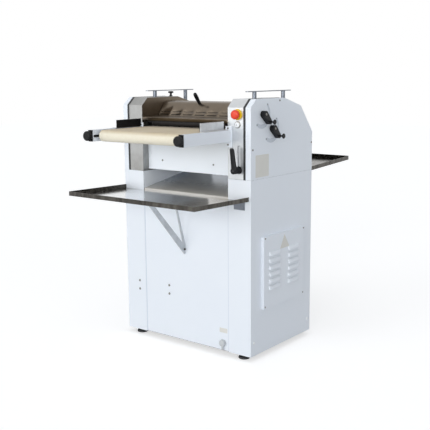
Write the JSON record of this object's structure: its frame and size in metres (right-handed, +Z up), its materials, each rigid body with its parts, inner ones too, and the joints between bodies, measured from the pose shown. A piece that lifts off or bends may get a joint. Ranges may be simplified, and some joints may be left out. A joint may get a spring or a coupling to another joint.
{
  "type": "dough sheeter",
  "caption": "Floor-standing bakery dough sheeter: belt infeed under a hinged roller hood between two side housings, chute outlet, and lipped receiving trays at front and rear.",
  "frame": {"origin": "on the floor under the centre of the whole machine's bounding box, trays and cranks included", "axes": "+X to the right seen from the front, +Y from the front tray towards the rear tray, +Z up"},
  "size_m": [1.0612, 1.6662, 1.5922],
  "materials": {
    "white_paint": "smooth white powder coat",
    "grey_steel": "satin grey stainless steel",
    "stainless": "polished stainless steel sheet",
    "black_plate": "black painted steel plate",
    "black_plastic": "moulded black plastic",
    "black_rubber": "black rubber",
    "felt_belt": "woven cream conveyor felt",
    "roller_steel": "ground steel",
    "yellow_plastic": "yellow plastic",
    "red_plastic": "red plastic",
    "white_plastic": "white plastic",
    "grey_plastic": "light grey plastic",
    "motor_paint": "painted cast motor housing"
  },
  "bodies": {
    "machine": {"base_frame": "black_plate", "belt_bed": "stainless", "cable_gland": "grey_plastic", "column_cover_left": "white_paint", "column_cover_right": "white_paint", "drive_belt": "black_rubber", "drive_motor": "motor_paint", "end_bracket_left": "black_plastic", "end_bracket_right": "black_plastic", "estop_ring": "yellow_plastic", "foot_front_left": "black_rubber", "foot_front_right": "black_rubber", "foot_rear_left": "black_rubber", "foot_rear_right": "black_rubber", "front_guard": "white_paint", "front_hook_left": "stainless", "front_hook_right": "stainless", "front_panel": "white_paint", "hood_hinge_rod": "roller_steel", "infeed_arm_left": "white_paint", "infeed_arm_right": "white_paint", "infeed_belt": "felt_belt", "inner_housing_left": "grey_steel", "inner_housing_right": "grey_steel", "louvre_cover": "white_paint", "outer_cover_left": "white_paint", "outer_cover_right": "white_paint", "outlet_chute": "stainless", "rear_hook_rail": "stainless", "rear_panel": "white_paint", "side_guide_left": "stainless", "side_guide_right": "stainless", "side_plate_left": "black_plate", "side_plate_right": "black_plate", "tray_support_left": "stainless", "tray_support_right": "stainless"},
    "hood": {"hood": "stainless", "hood_handle": "black_plastic"},
    "estop_button": {"estop_button": "red_plastic"},
    "start_button": {"start_button": "white_plastic"},
    "clamp_slider": {"clamp_stud": "black_plastic"},
    "clamp_lever": {"clamp_lever": "black_plastic"},
    "crank_upper": {"crank_upper": "black_plastic"},
    "crank_lower": {"crank_lower": "black_plastic"},
    "plunger_upper": {"plunger_upper": "black_plastic"},
    "plunger_lower": {"plunger_lower": "black_plastic"},
    "lock_knob": {"lock_knob": "black_plastic"},
    "tension_knob_left": {"tension_knob_left": "black_plastic"},
    "tension_knob_right": {"tension_knob_right": "black_plastic"},
    "front_table": {"front_table": "stainless", "front_brace": "stainless"},
    "rear_table": {"rear_table": "stainless", "rear_brace": "stainless"},
    "nose_roller": {"nose_roller": "roller_steel"},
    "infeed_drive_roller": {"infeed_drive_roller": "roller_steel"},
    "feed_roller": {"feed_roller": "black_rubber"},
    "upper_sheeting_roller": {"upper_sheeting_roller": "roller_steel"},
    "lower_sheeting_roller": {"lower_sheeting_roller": "roller_steel", "driven_pulley": "roller_steel"},
    "motor_pulley": {"motor_pulley": "roller_steel"}
  },
  "joints": [
    {"name": "hood_hinge", "type": "hinge", "parent": "machine", "child": "hood", "pos_m": [-0.03055, 0.30139, 1.262], "axis": [-1, 0, 0], "range_deg": [0, 70]},
    {"name": "estop_press", "type": "slide", "parent": "machine", "child": "estop_button", "axis": [0, 1, 0], "range_m": [0, 0.005], "stiffness_N_per_m": 800},
    {"name": "start_press", "type": "slide", "parent": "machine", "child": "start_button", "axis": [0, 1, 0], "range_m": [0, 0.003], "stiffness_N_per_m": 600},
    {"name": "clamp_slide", "type": "slide", "parent": "machine", "child": "clamp_slider", "axis": [0, 0, 1], "range_m": [-0.006, 0.13]},
    {"name": "clamp_lever_turn", "type": "hinge", "parent": "clamp_slider", "child": "clamp_lever", "pos_m": [0.38545, -0.38121, 1.146], "axis": [0, 1, 0], "range_deg": [-60, 60]},
    {"name": "crank_upper_turn", "type": "hinge", "parent": "machine", "child": "crank_upper", "pos_m": [0.47005, -0.22861, 1.463], "axis": [1, 0, 0], "range_deg": [-85, 89]},
    {"name": "plunger_upper_pull", "type": "slide", "parent": "crank_upper", "child": "plunger_upper", "axis": [1, 0, 0], "range_m": [0, 0.006], "stiffness_N_per_m": 500},
    {"name": "crank_lower_turn", "type": "hinge", "parent": "machine", "child": "crank_lower", "pos_m": [0.47005, -0.13461, 1.377], "axis": [1, 0, 0], "range_deg": [-85, 89]},
    {"name": "plunger_lower_pull", "type": "slide", "parent": "crank_lower", "child": "plunger_lower", "axis": [1, 0, 0], "range_m": [0, 0.006], "stiffness_N_per_m": 500},
    {"name": "lock_knob_turn", "type": "hinge", "parent": "machine", "child": "lock_knob", "pos_m": [-0.43055, 0.00939, 1.5503], "axis": [0, 0, 1], "continuous": true},
    {"name": "tension_knob_left_turn", "type": "hinge", "parent": "machine", "child": "tension_knob_left", "pos_m": [-0.38055, -0.77191, 1.3404], "axis": [0, -1, 0], "continuous": true},
    {"name": "tension_knob_right_turn", "type": "hinge", "parent": "machine", "child": "tension_knob_right", "pos_m": [0.31945, -0.77191, 1.3404], "axis": [0, -1, 0], "continuous": true},
    {"name": "front_table_lift", "type": "hinge", "parent": "machine", "child": "front_table", "pos_m": [-0.03055, -0.34261, 0.995], "axis": [-1, 0, 0], "range_deg": [0, 20]},
    {"name": "rear_table_lift", "type": "hinge", "parent": "machine", "child": "rear_table", "pos_m": [-0.03055, 0.33039, 1.107], "axis": [1, 0, 0], "range_deg": [0, 20]},
    {"name": "lower_sheeting_roller_spin", "type": "hinge", "parent": "machine", "child": "lower_sheeting_roller", "pos_m": [-0.03055, -0.16361, 1.338], "axis": [-1, 0, 0], "continuous": true},
    {"name": "nose_roller_spin", "type": "hinge", "parent": "machine", "child": "nose_roller", "pos_m": [-0.03055, -0.69961, 1.338], "axis": [-1, 0, 0], "continuous": true},
    {"name": "infeed_drive_roller_spin", "type": "hinge", "parent": "machine", "child": "infeed_drive_roller", "pos_m": [-0.03055, -0.26361, 1.338], "axis": [-1, 0, 0], "continuous": true},
    {"name": "feed_roller_spin", "type": "hinge", "parent": "machine", "child": "feed_roller", "pos_m": [-0.03055, -0.27861, 1.402], "axis": [-1, 0, 0], "continuous": true},
    {"name": "upper_sheeting_roller_spin", "type": "hinge", "parent": "machine", "child": "upper_sheeting_roller", "pos_m": [-0.03055, -0.16361, 1.403], "axis": [-1, 0, 0], "continuous": true},
    {"name": "motor_pulley_spin", "type": "hinge", "parent": "machine", "child": "motor_pulley", "pos_m": [-0.03055, -0.00861, 0.145], "axis": [-1, 0, 0], "continuous": true}
  ],
  "couplings": [
    {"joint": "infeed_drive_roller_spin", "follows": "lower_sheeting_roller_spin", "ratio": 0.98529},
    {"joint": "nose_roller_spin", "follows": "lower_sheeting_roller_spin", "ratio": 0.98529},
    {"joint": "feed_roller_spin", "follows": "lower_sheeting_roller_spin", "ratio": -1.3673},
    {"joint": "upper_sheeting_roller_spin", "follows": "lower_sheeting_roller_spin", "ratio": -1.1167},
    {"joint": "motor_pulley_spin", "follows": "lower_sheeting_roller_spin", "ratio": 1.25}
  ]
}
